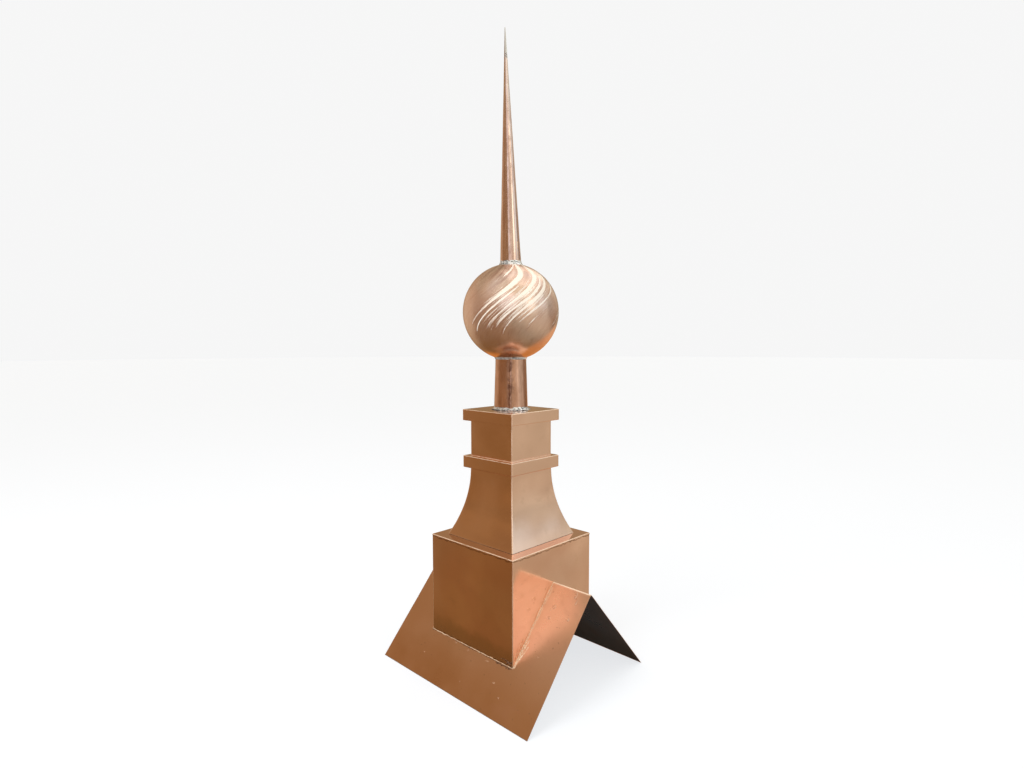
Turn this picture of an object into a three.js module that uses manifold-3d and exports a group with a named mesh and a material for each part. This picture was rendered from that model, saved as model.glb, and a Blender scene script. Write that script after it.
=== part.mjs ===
// A sheet copper roof finial: a ridge saddle, a square base box, a flared skirt, a collared shaft,
// a round neck, a ball and a spire. Millimetres, +Z up, the ridge runs along X, and the origin lies
// on the ground under the middle of the saddle, which stands on its two eave edges.

import * as THREE from 'three';
import { mergeVertices } from 'three/addons/utils/BufferGeometryUtils.js';
import Module from 'manifold-3d';

const wasm = await Module();
wasm.setup();

// Driving dimensions

const SHEET = 0.8; // thickness of the copper sheet
const GAP = 0.3; // clearance between pieces that touch

const ROOF_PITCH = 48.5; // degrees from level
const BEND_RADIUS = 1.5; // inside of the ridge bend
const SADDLE_MARGIN = 119.1; // sheet that shows on every side of the base box

const BOX_WIDTH = 304.8;
const BOX_RISE = 95; // from the ridge to the deck's top
const DECK_LEDGE = 31.2; // deck that shows around the skirt

const SKIRT_HEIGHT = 184.3; // from the deck to the collar
const SKIRT_LIP = 10; // straight upper end, inside the collar

const SHAFT_WIDTH = 154;
const SHAFT_REVEAL = 95.4; // from the collar to the cap

const COLLAR_PROJECTION = 14.9; // out from the shaft
const COLLAR_HEIGHT = 32.1;

const CAP_PROJECTION = 15.4; // out from the shaft
const CAP_HEIGHT = 30.1;

const NECK_FOOT_RADIUS = 45.5;
const NECK_TOP_RADIUS = 41.3;
const NECK_LENGTH = 138.7;

const BALL_RADIUS = 128.1;

const SPIRE_RADIUS = 28.1; // where the cone meets the ball
const SPIRE_LENGTH = 611.5;
const SPIRE_TIP_RADIUS = 0.9;
const SPIRE_LEAN = 1.3; // degrees from upright
const SPIRE_LEAN_HEADING = 223.8; // degrees from +X towards +Y
const SPIRE_ROOT = 7; // depth to which the foot is drawn before the ball is cut out of it

const NECK_SOLDER_HEIGHT = 7;
const NECK_SOLDER_REACH = 5.5; // out from the neck's wall
const NECK_SOLDER_HOLLOW = 0.4; // share of its reach and height at the middle of the fillet
const SEAT_SOLDER_HEIGHT = 4.5;
const SEAT_SOLDER_REACH = 3.5;
const SPIRE_SOLDER_HEIGHT = 9;
const SPIRE_SOLDER_REACH = 4.5;

const SKIRT_STEPS = 16; // flats along the flare
const BEND_STEPS = 6;
const ROUND_STEPS = 48; // flats around the neck, the ball and their solder
const BALL_BANDS = 32;
const SPIRE_STEPS = 32;

// Heights and places worked out from them

const pitch = THREE.MathUtils.degToRad(ROOF_PITCH);
const bendOuterRadius = BEND_RADIUS + SHEET;
const slopeUnderBox = (BOX_WIDTH / 2 - bendOuterRadius * Math.sin(pitch)) / Math.cos(pitch);
const slopeLength = slopeUnderBox + SADDLE_MARGIN; // flat part, from the bend to the eave
const bendCentreZ = slopeLength * Math.sin(pitch) - BEND_RADIUS * Math.cos(pitch);
const ridgeZ = bendCentreZ + bendOuterRadius;
const deckZ = ridgeZ + BOX_RISE;
const skirtFootHalf = BOX_WIDTH / 2 - DECK_LEDGE;
const shaftHalf = SHAFT_WIDTH / 2;
const collarBottomZ = deckZ + SKIRT_HEIGHT;
const collarTopZ = collarBottomZ + COLLAR_HEIGHT;
const capBottomZ = collarTopZ + SHAFT_REVEAL;
const capTopZ = capBottomZ + CAP_HEIGHT;
const ballCentreZ = capTopZ + NECK_LENGTH + sphereRise(BALL_RADIUS, NECK_TOP_RADIUS);
const spireFootZ = ballCentreZ + sphereRise(BALL_RADIUS, SPIRE_RADIUS);

// Height of a sphere's surface above its centre's level, at a distance from its axis
function sphereRise(sphereRadius, distance) {
  return Math.sqrt(sphereRadius * sphereRadius - distance * distance);
}

// Solids

// A square solid from a profile of [half width, height] points, half of its upright section. The
// profile runs anticlockwise around the metal, and closes on itself or starts and ends on the axis.
function squareTurned(profile) {
  const points = profile.map(([halfWidth, z]) => new THREE.Vector2(halfWidth * Math.SQRT2, z));
  return new THREE.LatheGeometry(points, 4, Math.PI / 4).rotateX(Math.PI / 2);
}

// A round solid from a profile of [radius, height] points, by the same rule
function roundTurned(profile, steps) {
  const points = profile.map(([radius, z]) => new THREE.Vector2(radius, z));
  return new THREE.LatheGeometry(points, steps).rotateX(Math.PI / 2);
}

function ballShape(radius) {
  return new THREE.SphereGeometry(radius, ROUND_STEPS, BALL_BANDS).rotateX(Math.PI / 2);
}

function closed(profile) {
  return [...profile, profile[0]];
}

function toManifold(geometry) {
  const bare = geometry.clone();
  bare.deleteAttribute('normal');
  bare.deleteAttribute('uv');
  const merged = mergeVertices(bare, 1e-4);
  return new wasm.Manifold(new wasm.Mesh({
    numProp: 3,
    vertProperties: new Float32Array(merged.attributes.position.array),
    triVerts: new Uint32Array(merged.index.array),
  }));
}

function toGeometry(manifold) {
  const mesh = manifold.getMesh();
  const geometry = new THREE.BufferGeometry();
  geometry.setAttribute('position', new THREE.BufferAttribute(new Float32Array(mesh.vertProperties), 3));
  geometry.setIndex(new THREE.BufferAttribute(new Uint32Array(mesh.triVerts), 1));
  geometry.computeVertexNormals();
  return geometry;
}

function cut(geometry, cutter) {
  return toGeometry(toManifold(geometry).subtract(toManifold(cutter)));
}

// A point of the roof's section across the ridge, on one side (1 or -1): at a distance out from the
// bend's centre, square to the slope, and then a run down along the slope
function slopePoint(side, distance, run) {
  const y = side * (distance * Math.sin(pitch) + run * Math.cos(pitch));
  const z = bendCentreZ + distance * Math.cos(pitch) - run * Math.sin(pitch);
  return new THREE.Vector2(y, z);
}

// A section drawn in the YZ plane, run out along X to both sides of the middle
function alongRidge(section, length) {
  const settings = { depth: length, bevelEnabled: false, curveSegments: BEND_STEPS };
  const geometry = new THREE.ExtrudeGeometry(section, settings);
  return geometry.translate(0, 0, -length / 2).rotateX(Math.PI / 2).rotateZ(Math.PI / 2);
}

const bendStart = Math.PI / 2 - pitch;
const bendEnd = Math.PI / 2 + pitch;

function saddleGeometry() {
  const right = slopePoint(1, bendOuterRadius, slopeLength);
  const left = slopePoint(-1, bendOuterRadius, slopeLength);
  const leftInner = slopePoint(-1, BEND_RADIUS, slopeLength);
  const rightInner = slopePoint(1, BEND_RADIUS, slopeLength);
  const section = new THREE.Shape();
  section.moveTo(rightInner.x, rightInner.y);
  section.lineTo(right.x, right.y);
  section.absarc(0, bendCentreZ, bendOuterRadius, bendStart, bendEnd, false);
  section.lineTo(left.x, left.y);
  section.lineTo(leftInner.x, leftInner.y);
  section.absarc(0, bendCentreZ, BEND_RADIUS, bendEnd, bendStart, true);
  section.closePath();
  return alongRidge(section, BOX_WIDTH + SADDLE_MARGIN * 2);
}

// All that lies under the saddle's outer face, and a clearance above it
function roofBlock() {
  const radius = bendOuterRadius + GAP;
  const reach = slopeLength * 2;
  const right = slopePoint(1, radius, reach);
  const left = slopePoint(-1, radius, reach);
  const section = new THREE.Shape();
  section.moveTo(left.x, left.y);
  section.lineTo(right.x, right.y);
  section.absarc(0, bendCentreZ, radius, bendStart, bendEnd, false);
  section.closePath();
  return alongRidge(section, BOX_WIDTH * 2);
}

function baseBoxGeometry() {
  const half = BOX_WIDTH / 2;
  const walls = squareTurned([
    [0, deckZ - SHEET],
    [half - SHEET, deckZ - SHEET],
    [half - SHEET, 0],
    [half, 0],
    [half, deckZ],
    [0, deckZ],
  ]);
  return cut(walls, roofBlock());
}

// Half width of the skirt's outer face at a height above its foot: one arc, upright at the top
function skirtHalfWidth(height) {
  const flare = skirtFootHalf - shaftHalf;
  const radius = (SKIRT_HEIGHT * SKIRT_HEIGHT + flare * flare) / (2 * flare);
  const below = SKIRT_HEIGHT - height;
  return shaftHalf + radius - Math.sqrt(radius * radius - below * below);
}

function skirtGeometry() {
  const outer = [];
  const inner = [];
  for (let step = 0; step <= SKIRT_STEPS; step++) {
    const height = GAP + ((SKIRT_HEIGHT - GAP) * step) / SKIRT_STEPS;
    const halfWidth = skirtHalfWidth(height);
    outer.push([halfWidth, deckZ + height]);
    inner.unshift([halfWidth - SHEET, deckZ + height]);
  }
  const lipZ = collarBottomZ + SKIRT_LIP;
  const lip = [
    [shaftHalf, lipZ],
    [shaftHalf - SHEET, lipZ],
  ];
  return squareTurned(closed([...outer, ...lip, ...inner]));
}

// A band of folded channel around the shaft: a face, and a ledge above and below back to the shaft
function collarGeometry() {
  const face = shaftHalf + COLLAR_PROJECTION;
  const hole = shaftHalf + GAP;
  return squareTurned(closed([
    [hole, collarBottomZ],
    [face, collarBottomZ],
    [face, collarTopZ],
    [hole, collarTopZ],
    [hole, collarTopZ - SHEET],
    [face - SHEET, collarTopZ - SHEET],
    [face - SHEET, collarBottomZ + SHEET],
    [hole, collarBottomZ + SHEET],
  ]));
}

function shaftGeometry() {
  const bottom = collarBottomZ + SKIRT_LIP + GAP;
  const top = capTopZ - SHEET - GAP;
  return squareTurned(closed([
    [shaftHalf, bottom],
    [shaftHalf, top],
    [shaftHalf - SHEET, top],
    [shaftHalf - SHEET, bottom],
  ]));
}

function capGeometry() {
  const face = shaftHalf + CAP_PROJECTION;
  const hole = shaftHalf + GAP;
  return squareTurned([
    [0, capTopZ - SHEET],
    [face - SHEET, capTopZ - SHEET],
    [face - SHEET, capBottomZ + SHEET],
    [hole, capBottomZ + SHEET],
    [hole, capBottomZ],
    [face, capBottomZ],
    [face, capTopZ],
    [0, capTopZ],
  ]);
}

// Radius of the neck's outer face at a height above the cap
function neckRadius(height) {
  return NECK_FOOT_RADIUS + ((NECK_TOP_RADIUS - NECK_FOOT_RADIUS) * height) / NECK_LENGTH;
}

function neckGeometry() {
  const seatRadius = BALL_RADIUS + GAP;
  const topInner = NECK_TOP_RADIUS - SHEET;
  return roundTurned(closed([
    [NECK_FOOT_RADIUS, capTopZ + GAP],
    [NECK_TOP_RADIUS, ballCentreZ - sphereRise(seatRadius, NECK_TOP_RADIUS)],
    [topInner, ballCentreZ - sphereRise(seatRadius, topInner)],
    [NECK_FOOT_RADIUS - SHEET, capTopZ + GAP],
  ]), ROUND_STEPS);
}

function neckSolderGeometry() {
  const foot = NECK_FOOT_RADIUS + GAP;
  const middleHeight = NECK_SOLDER_HEIGHT * NECK_SOLDER_HOLLOW;
  return roundTurned(closed([
    [foot, capTopZ + GAP],
    [foot + NECK_SOLDER_REACH, capTopZ + GAP],
    [foot + NECK_SOLDER_REACH * NECK_SOLDER_HOLLOW, capTopZ + middleHeight],
    [neckRadius(NECK_SOLDER_HEIGHT) + GAP, capTopZ + NECK_SOLDER_HEIGHT],
  ]), ROUND_STEPS);
}

function ballCutter() {
  return ballShape(BALL_RADIUS + GAP).translate(0, 0, ballCentreZ);
}

function seatSolderGeometry() {
  const inner = NECK_TOP_RADIUS + GAP;
  const outer = inner + SEAT_SOLDER_REACH;
  const seatZ = ballCentreZ - sphereRise(BALL_RADIUS, outer);
  const bottomZ = capTopZ + NECK_LENGTH - SEAT_SOLDER_HEIGHT;
  const bottomRadius = neckRadius(NECK_LENGTH - SEAT_SOLDER_HEIGHT) + GAP;
  const ring = roundTurned(closed([
    [bottomRadius, bottomZ],
    [outer, seatZ],
    [inner, seatZ],
  ]), ROUND_STEPS);
  return cut(ring, ballCutter());
}

// The spire stands in its own leaning group, whose origin is the middle of its foot on the ball.

function inSpireGroup(geometry) {
  const toGroup = new THREE.Matrix4().copy(spireGroup.matrixWorld).invert();
  return geometry.applyMatrix4(toGroup);
}

// Radius of the spire at a height along it
function spireRadius(height) {
  return SPIRE_RADIUS + ((SPIRE_TIP_RADIUS - SPIRE_RADIUS) * height) / SPIRE_LENGTH;
}

function spireGeometry() {
  const cone = roundTurned([
    [0, -SPIRE_ROOT],
    [spireRadius(-SPIRE_ROOT), -SPIRE_ROOT],
    [SPIRE_TIP_RADIUS, SPIRE_LENGTH - SPIRE_TIP_RADIUS],
    [0, SPIRE_LENGTH],
  ], SPIRE_STEPS);
  return cut(cone, inSpireGroup(ballCutter()));
}

function spireSolderGeometry() {
  const topInner = spireRadius(SPIRE_SOLDER_HEIGHT) + GAP;
  const ring = roundTurned(closed([
    [spireRadius(-SPIRE_ROOT) + GAP, -SPIRE_ROOT],
    [SPIRE_RADIUS + SPIRE_SOLDER_REACH, -SPIRE_ROOT],
    [SPIRE_RADIUS + SPIRE_SOLDER_REACH, 0],
    [topInner, SPIRE_SOLDER_HEIGHT],
  ]), SPIRE_STEPS);
  return cut(ring, inSpireGroup(ballCutter()));
}

// Finishes

function copper(colour, roughness) {
  return new THREE.MeshStandardMaterial({ color: colour, roughness, metalness: 1 });
}

function solder() {
  return new THREE.MeshStandardMaterial({ color: 0xb4b4ae, roughness: 0.45, metalness: 1 });
}

// The finial

const finial = new THREE.Group();

const spireGroup = new THREE.Group();
const heading = THREE.MathUtils.degToRad(SPIRE_LEAN_HEADING);
const leanAxis = new THREE.Vector3(-Math.sin(heading), Math.cos(heading), 0);
spireGroup.position.set(0, 0, spireFootZ);
spireGroup.quaternion.setFromAxisAngle(leanAxis, THREE.MathUtils.degToRad(SPIRE_LEAN));
finial.add(spireGroup);
finial.updateMatrixWorld(true);

function addPiece(parent, name, geometry, material) {
  const mesh = new THREE.Mesh(geometry, material);
  mesh.name = name;
  parent.add(mesh);
}

addPiece(finial, 'saddle_flashing', saddleGeometry(), copper(0xc07a50, 0.35));
addPiece(finial, 'base_box', baseBoxGeometry(), copper(0xb87850, 0.25));
addPiece(finial, 'flared_skirt', skirtGeometry(), copper(0xc08660, 0.25));
addPiece(finial, 'lower_collar', collarGeometry(), copper(0xb87c54, 0.25));
addPiece(finial, 'shaft', shaftGeometry(), copper(0xb87c54, 0.25));
addPiece(finial, 'cap', capGeometry(), copper(0xb87c54, 0.25));
addPiece(finial, 'neck', neckGeometry(), copper(0xa8684a, 0.3));
addPiece(finial, 'ball', ballShape(BALL_RADIUS).translate(0, 0, ballCentreZ), copper(0xc48c68, 0.3));
addPiece(spireGroup, 'spire', spireGeometry(), copper(0xc08462, 0.3));
addPiece(finial, 'solder_neck_base', neckSolderGeometry(), solder());
addPiece(finial, 'solder_ball_seat', seatSolderGeometry(), solder());
addPiece(spireGroup, 'solder_spire_base', spireSolderGeometry(), solder());

export default finial;
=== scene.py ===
"""The looks of a sheet copper roof finial: folded sheets with crisp, slightly rounded edges and painted highlight
lines, a ball polished in sweeping strokes with their glints painted on, a rolled neck and spire with soldered seams,
and uneven solder.
Metres, in the CAD model's frame: +X runs along the ridge, +Z up, and the saddle's eaves stand on z = 0."""

import math

import bpy
import numpy as np
from mathutils import Matrix, Vector, noise


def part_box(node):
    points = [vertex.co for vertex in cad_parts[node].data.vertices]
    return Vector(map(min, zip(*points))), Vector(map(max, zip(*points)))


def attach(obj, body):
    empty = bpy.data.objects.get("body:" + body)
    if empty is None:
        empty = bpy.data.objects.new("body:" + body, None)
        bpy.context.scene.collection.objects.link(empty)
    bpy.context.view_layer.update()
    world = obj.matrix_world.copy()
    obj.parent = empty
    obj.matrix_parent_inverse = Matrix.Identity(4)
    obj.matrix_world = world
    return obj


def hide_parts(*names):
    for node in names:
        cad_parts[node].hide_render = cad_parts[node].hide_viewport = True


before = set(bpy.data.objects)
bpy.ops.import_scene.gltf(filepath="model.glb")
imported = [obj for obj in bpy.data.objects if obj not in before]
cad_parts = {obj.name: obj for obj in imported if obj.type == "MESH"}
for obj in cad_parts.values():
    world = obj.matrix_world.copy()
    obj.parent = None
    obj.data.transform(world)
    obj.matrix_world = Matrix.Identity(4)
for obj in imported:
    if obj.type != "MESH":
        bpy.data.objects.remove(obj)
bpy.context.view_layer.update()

# Sizes: some from the CAD nodes' own boxes, the others given as numbers

SHEET = 0.0008
PITCH = math.radians(48.5)
BEND = 0.0023  # outside of the ridge bend
SADDLE_HALF, EAVE_HALF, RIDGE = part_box("saddle_flashing")[1]
BEND_CENTRE = RIDGE - BEND
BOX_HALF, _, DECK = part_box("base_box")[1]
SKIRT_FOOT_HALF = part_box("flared_skirt")[1].x
SHAFT_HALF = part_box("shaft")[1].x
COLLAR_LOW, COLLAR_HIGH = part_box("lower_collar")
CAP_LOW, CAP_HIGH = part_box("cap")
NECK_FOOT_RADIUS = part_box("neck")[1].x
NECK_TOP_RADIUS = 0.0413
NECK_TOP = 0.8361
BALL_LOW, BALL_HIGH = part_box("ball")
BALL_RADIUS = BALL_HIGH.x
BALL_CENTRE = Vector((0.0, 0.0, (BALL_LOW.z + BALL_HIGH.z) / 2))
SPIRE_RADIUS = 0.0281
SPIRE_TIP_RADIUS = 0.0009
SPIRE_LENGTH = 0.6115
SPIRE_FOOT = Vector((0.0, 0.0, BALL_CENTRE.z + math.sqrt(BALL_RADIUS**2 - SPIRE_RADIUS**2)))
SPIRE_LEAN = math.radians(1.3)
SPIRE_HEADING = math.radians(223.8)

MARKS_FROM = math.radians(-45.92)  # round from +X: seams and polishing strokes are measured from here


# Meshes


def wave(x, y, z, length, seed):
    """A smooth value between about -1 and 1 that changes over the given length."""
    return noise.noise(Vector((x / length, y / length, z / length + 17.3 * seed)))


def smooth_step(value, low, high):
    t = min(1.0, max(0.0, (value - low) / (high - low)))
    return t * t * (3 - 2 * t)


def piece(name, vertices, faces, material, stands_for=(), crease=35.0):
    """A mesh object of the finial, with its normals outward and its folds shaded as folds."""
    mesh = bpy.data.meshes.new(name)
    mesh.from_pydata([tuple(v) for v in vertices], [], faces)
    import bmesh

    shape = bmesh.new()
    shape.from_mesh(mesh)
    bmesh.ops.remove_doubles(shape, verts=shape.verts, dist=1e-7)
    bmesh.ops.recalc_face_normals(shape, faces=shape.faces)
    shape.to_mesh(mesh)
    shape.free()
    mesh.shade_smooth()
    mesh.set_sharp_from_angle(angle=math.radians(crease))
    mesh.materials.append(material)
    made = bpy.data.objects.new(name, mesh)
    bpy.context.scene.collection.objects.link(made)
    flats = made.modifiers.new("flats", "WEIGHTED_NORMAL")
    flats.keep_sharp = True
    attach(made, "root")
    if stands_for:
        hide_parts(*stands_for)
    return made


def loft(rings, closed=False, start_point=None, end_point=None):
    """Vertices and faces through rings of equal length; an end can close on a point."""
    count = len(rings[0])
    vertices = [p for ring in rings for p in ring]
    faces = []
    last = len(rings) if closed else len(rings) - 1
    for r in range(last):
        a = r * count
        b = ((r + 1) % len(rings)) * count
        for i in range(count):
            j = (i + 1) % count
            faces.append((a + i, a + j, b + j, b + i))
    for point, base in ((start_point, 0), (end_point, (len(rings) - 1) * count)):
        if point is not None:
            vertices.append(point)
            middle = len(vertices) - 1
            faces += [(base + i, base + (i + 1) % count, middle) for i in range(count)]
    return vertices, faces


def rounded(profile, radii, steps=5):
    """A profile of (outward, height) points with each corner rounded to its radius."""
    made = []
    for i, (point, radius) in enumerate(zip(profile, radii)):
        if radius <= 0 or i in (0, len(profile) - 1):
            made.append(point)
            continue
        p = Vector(point)
        to_last = (Vector(profile[i - 1]) - p).normalized()
        to_next = (Vector(profile[i + 1]) - p).normalized()
        half = to_last.angle(to_next) / 2
        cut = radius / math.tan(half)
        centre = p + (to_last + to_next).normalized() * (radius / math.sin(half))
        first = (p + to_last * cut - centre).normalized()
        final = (p + to_next * cut - centre).normalized()
        for k in range(steps + 1):
            made.append(tuple(centre + radius * first.slerp(final, k / steps)))
    return made


def square_ring(half, radius, height, side_steps=26, corner_steps=4, swell=None):
    """Points round a square with rounded corners. height is a number, or a function of (x, y);
    swell gives how far a point of a side stands out, from its place along the side and its side."""
    radius = min(radius, half * 0.45)
    flat = half - radius
    points = []
    for side in range(4):
        turn = side * math.pi / 2
        c, s = math.cos(turn), math.sin(turn)
        local = []
        for k in range(side_steps + 1):
            along = -1 + 2 * k / side_steps
            out = half + (swell(side, along * flat, 1 - along * along) if swell else 0.0)
            local.append((out, along * flat))
        for k in range(1, corner_steps):
            angle = math.pi / 2 * k / corner_steps
            local.append((flat + radius * math.cos(angle), flat + radius * math.sin(angle)))
        for x, y in local:
            px, py = x * c - y * s, x * s + y * c
            z = height(px, py) if callable(height) else height
            points.append((px, py, z))
    return points


def square_sheet(profile, corner, thickness_side, swell_size, seed, length=0.09, height_at=None):
    """Rings for a square solid from its profile of (half width, height) points."""
    low = min(z for _, z in profile)
    high = max(z for _, z in profile)
    rings = []
    for half, z in profile:
        edge = min(z - low, high - z)
        fade = smooth_step(edge, 0.0, 0.03)
        inset = max(0.0, max(h for h, _ in profile) - half) if thickness_side else 0.0

        def swell(side, along, middle, z=z, fade=fade):
            lift = wave(along + side * 3.1, 0.0, z, length, seed)
            return swell_size * lift * fade * smooth_step(middle, 0.0, 0.35)

        radius = max(0.0004, corner - inset)
        top = height_at(z) if height_at else z
        rings.append(square_ring(half, radius, top, swell=swell if swell_size else None))
    return rings


def roof_height(y, above=0.0):
    """Height of the saddle's outer face, or of a face that much above it, at a distance y."""
    reach = BEND + above
    y = abs(y)
    if y <= reach * math.sin(PITCH):
        return BEND_CENTRE + math.sqrt(reach * reach - y * y)
    return BEND_CENTRE + reach / math.cos(PITCH) - y * math.tan(PITCH)


def bead_mesh(path, radius, sides=8, seed=1, closed=False, uneven=1.0):
    """Vertices and faces of a run of solder along a path, with an uneven thickness."""
    rings = []
    count = len(path)
    for i, point in enumerate(path):
        p = Vector(point)
        ahead = Vector(path[(i + 1) % count]) if closed or i + 1 < count else p
        behind = Vector(path[i - 1]) if closed or i > 0 else p
        forward = (ahead - behind).normalized()
        across = forward.cross(Vector((0, 0, 1)))
        if across.length < 1e-3:
            across = forward.cross(Vector((1, 0, 0)))
        across.normalize()
        upward = across.cross(forward).normalized()
        size = 0.6 * wave(p.x, p.y, p.z, 0.007, seed) + 0.5 * wave(p.x, p.y, p.z, 0.03, seed)
        size = radius * max(0.15, 1 + uneven * size)
        ring = []
        for k in range(sides):
            angle = 2 * math.pi * k / sides
            ring.append(tuple(p + size * (across * math.cos(angle) + upward * math.sin(angle))))
        rings.append(ring)
    if closed:
        return loft(rings, closed=True)
    return loft(rings, start_point=tuple(path[0]), end_point=tuple(path[-1]))


def joined(meshes):
    """One list of vertices and one of faces from several (vertices, faces) pairs."""
    vertices, faces = [], []
    for more, some in meshes:
        faces += [tuple(i + len(vertices) for i in face) for face in some]
        vertices += more
    return vertices, faces


def on_slope(x, run, above=0.0, side=-1):
    """A point of the saddle's outer face, from its place along the ridge and down the slope."""
    reach = BEND + above
    y = side * (reach * math.sin(PITCH) + run * math.cos(PITCH))
    return (x, y, BEND_CENTRE + reach * math.cos(PITCH) - run * math.sin(PITCH))


def drop_mesh(x, run, across, along, height, seed):
    """A flat drop on the front slope, of an uneven outline."""
    rings = []
    for share, lift in ((1.0, -0.0004), (0.97, 0.4), (0.75, 0.8), (0.4, 1.0)):
        ring = []
        for k in range(16):
            angle = 2 * math.pi * k / 16
            size = share * (1 + 0.4 * wave(math.cos(angle), math.sin(angle), 0, 1.1, seed))
            dx, dr = across * size * math.cos(angle), along * size * math.sin(angle)
            ring.append(on_slope(x + dx, run + dr, lift * height if lift > 0 else lift))
        rings.append(ring)
    return loft(rings, end_point=on_slope(x, run, height))


# Materials


class Finish:
    """A node material on a Principled shader, with short calls for the nodes that finishes share."""

    def __init__(self, name, metallic=1.0, anisotropic=0.0):
        self.material = bpy.data.materials.new(name)
        self.material.use_nodes = True
        self.tree = self.material.node_tree
        self.shader = self.tree.nodes["Principled BSDF"]
        self.shader.inputs["Metallic"].default_value = metallic
        self.shader.inputs["Anisotropic"].default_value = anisotropic
        self.place = self.add("ShaderNodeTexCoord").outputs["Object"]

    def add(self, kind, sockets=None, **settings):
        node = self.tree.nodes.new(kind)
        for key, value in settings.items():
            setattr(node, key, value)
        for key, value in (sockets or {}).items():
            if isinstance(value, bpy.types.NodeSocket):
                self.tree.links.new(value, node.inputs[key])
            else:
                node.inputs[key].default_value = value
        return node

    def math(self, operation, a, b=0.0, clamp=False):
        node = self.add("ShaderNodeMath", {0: a, 1: b}, operation=operation, use_clamp=clamp)
        return node.outputs[0]

    def along(self, axis, vector=None):
        split = self.add("ShaderNodeSeparateXYZ", {0: vector or self.place})
        return split.outputs[axis]

    def grain(self, scale, detail=3.0, stretch=(1, 1, 1), shift=(0, 0, 0), vector=None, roughness=0.5):
        """Noise from 0 to 1, with scale in features for each metre."""
        moved = self.add(
            "ShaderNodeMapping", {"Vector": vector or self.place, "Location": shift, "Scale": stretch}
        )
        made = self.add(
            "ShaderNodeTexNoise",
            {"Vector": moved.outputs[0], "Scale": scale, "Detail": detail, "Roughness": roughness},
        )
        return made.outputs[0]

    def step(self, value, low, high, to_low=0.0, to_high=1.0):
        node = self.add(
            "ShaderNodeMapRange",
            {"Value": value, "From Min": low, "From Max": high, "To Min": to_low, "To Max": to_high},
            interpolation_type="SMOOTHSTEP",
        )
        return node.outputs[0]

    def mix(self, factor, a, b):
        node = self.add("ShaderNodeMix", data_type="RGBA")
        for index, value in ((0, factor), (6, a), (7, b)):
            if isinstance(value, bpy.types.NodeSocket):
                self.tree.links.new(value, node.inputs[index])
            elif index == 0:
                node.inputs[0].default_value = value
            else:
                node.inputs[index].default_value = (*value, 1.0)
        return node.outputs[2]

    def bump(self, height, depth, normal=None):
        sockets = {"Height": height, "Distance": depth, "Strength": 1.0}
        if normal is not None:
            sockets["Normal"] = normal
        return self.add("ShaderNodeBump", sockets).outputs[0]

    def folds(self, edges, tops, hips=0.65):
        """Where highlight lines are painted on the sheet, standing for the light its folds catch: on its hips, and
        on its edges, each given by a half width and a height. A flat top, by its height, has no hips."""
        x, y = (self.math("ABSOLUTE", self.along(axis)) for axis in (0, 1))
        z = self.along(2)
        wide = self.math("MAXIMUM", x, y)
        shown = self.step(self.math("ABSOLUTE", self.math("SUBTRACT", x, y)), 0.0012, 0.0030, hips, 0.0)
        for top in tops:
            off = self.math("ABSOLUTE", self.math("SUBTRACT", z, top))
            shown = self.math("MULTIPLY", shown, self.step(off, 0.0006, 0.0016))
        for half, height, weight in edges:
            side = self.math("ABSOLUTE", self.math("SUBTRACT", wide, half))
            up = self.math("ABSOLUTE", self.math("SUBTRACT", z, height))
            near = self.math(
                "MULTIPLY", self.step(side, 0.0010, 0.0022, weight, 0), self.step(up, 0.0010, 0.0022, 1, 0)
            )
            shown = self.math("MAXIMUM", shown, near)
        broken = self.step(self.grain(55, 3.0, shift=(9, 4, 4)), 0.25, 0.6, 0.45, 1.0)
        return self.math("MULTIPLY", shown, broken)

    def paint_highlight_lines(self, colour, mask, strength):
        """The colour with its painted highlight lines in cream, which also scatter more of the light."""
        amount = self.math("MULTIPLY", mask, strength)
        metal = self.math("SUBTRACT", 1.0, self.math("MULTIPLY", amount, 0.9))
        self.tree.links.new(metal, self.shader.inputs["Metallic"])
        return self.mix(amount, colour, (1.0, 0.80, 0.64))

    def finish(self, colour, roughness, normal=None):
        self.tree.links.new(colour, self.shader.inputs["Base Color"])
        self.tree.links.new(roughness, self.shader.inputs["Roughness"])
        if normal is not None:
            self.tree.links.new(normal, self.shader.inputs["Normal"])
        return self.material


def copper_sheet(name, bright, deep, brown, gloss, satin, stains=0.5, rolled=(1, 1, 0.12)):
    """Bright copper sheet: slow changes of tone, faint rolling lines, smudges and fine scratches."""
    f = Finish(name)
    slow = f.grain(7, 2.0)
    tone = f.mix(f.step(slow, 0.35, 0.68), bright, deep)
    tarnish = f.step(f.grain(3.2, 3.0, shift=(4, 2, 9)), 0.5, 0.75, 0.0, stains)
    tone = f.mix(tarnish, tone, brown)
    smudge = f.step(f.grain(38, 4.0, shift=(1, 7, 3)), 0.56, 0.72)
    tone = f.mix(f.math("MULTIPLY", smudge, 0.18), tone, brown)
    rolling = f.grain(900, 2.0, stretch=rolled)
    scratch = f.step(f.grain(60, 3.0, stretch=(1, 1, 14), shift=(3, 3, 3)), 0.66, 0.70)
    rough = f.step(slow, 0.3, 0.7, gloss, satin)
    rough = f.math("ADD", rough, f.math("MULTIPLY", smudge, 0.07))
    rough = f.math("ADD", rough, f.math("MULTIPLY", rolling, 0.05))
    normal = f.bump(rolling, 0.000004)
    normal = f.bump(scratch, 0.00002, normal)
    normal = f.bump(f.grain(26, 2.0, shift=(8, 1, 1)), 0.00012, normal)
    return f, tone, rough, normal


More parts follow.
